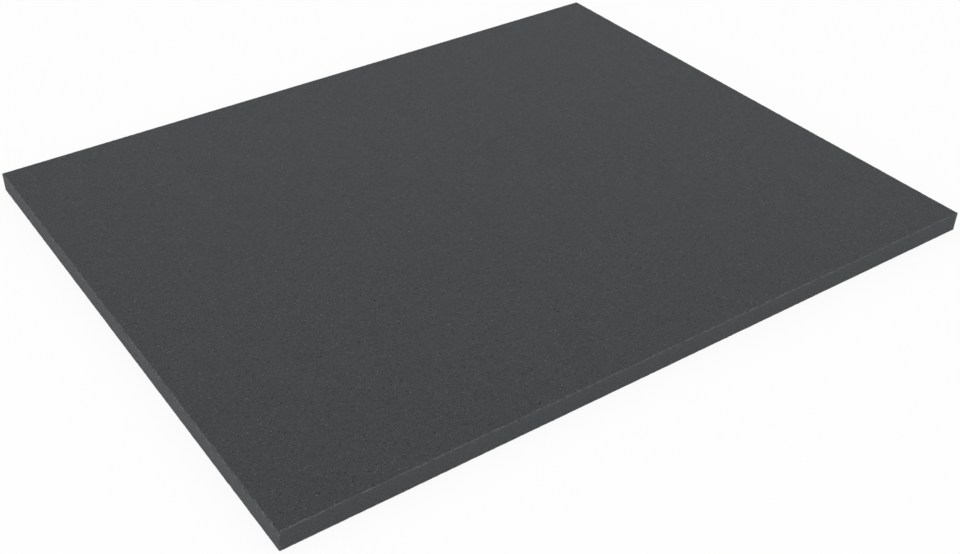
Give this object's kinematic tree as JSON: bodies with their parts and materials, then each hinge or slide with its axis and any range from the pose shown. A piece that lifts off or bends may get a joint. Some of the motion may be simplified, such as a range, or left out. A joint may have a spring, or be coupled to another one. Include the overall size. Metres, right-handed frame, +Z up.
{
  "type": "foam tray insert",
  "caption": "Flat rectangular sheet of dark grey open-cell foam with square-cut edges, laid on the floor of a tray, drawer or case to cushion what lies on it.",
  "frame": {"origin": "centre of the underside, on the surface that the sheet lies on", "axes": "+X along the longer edges, +Y along the shorter edges, +Z up through the thickness"},
  "size_m": [0.386, 0.304, 0.01],
  "materials": {
    "grey_foam": "matte"
  },
  "bodies": {
    "root": {"foam_sheet": "grey_foam"}
  },
  "joints": []
}
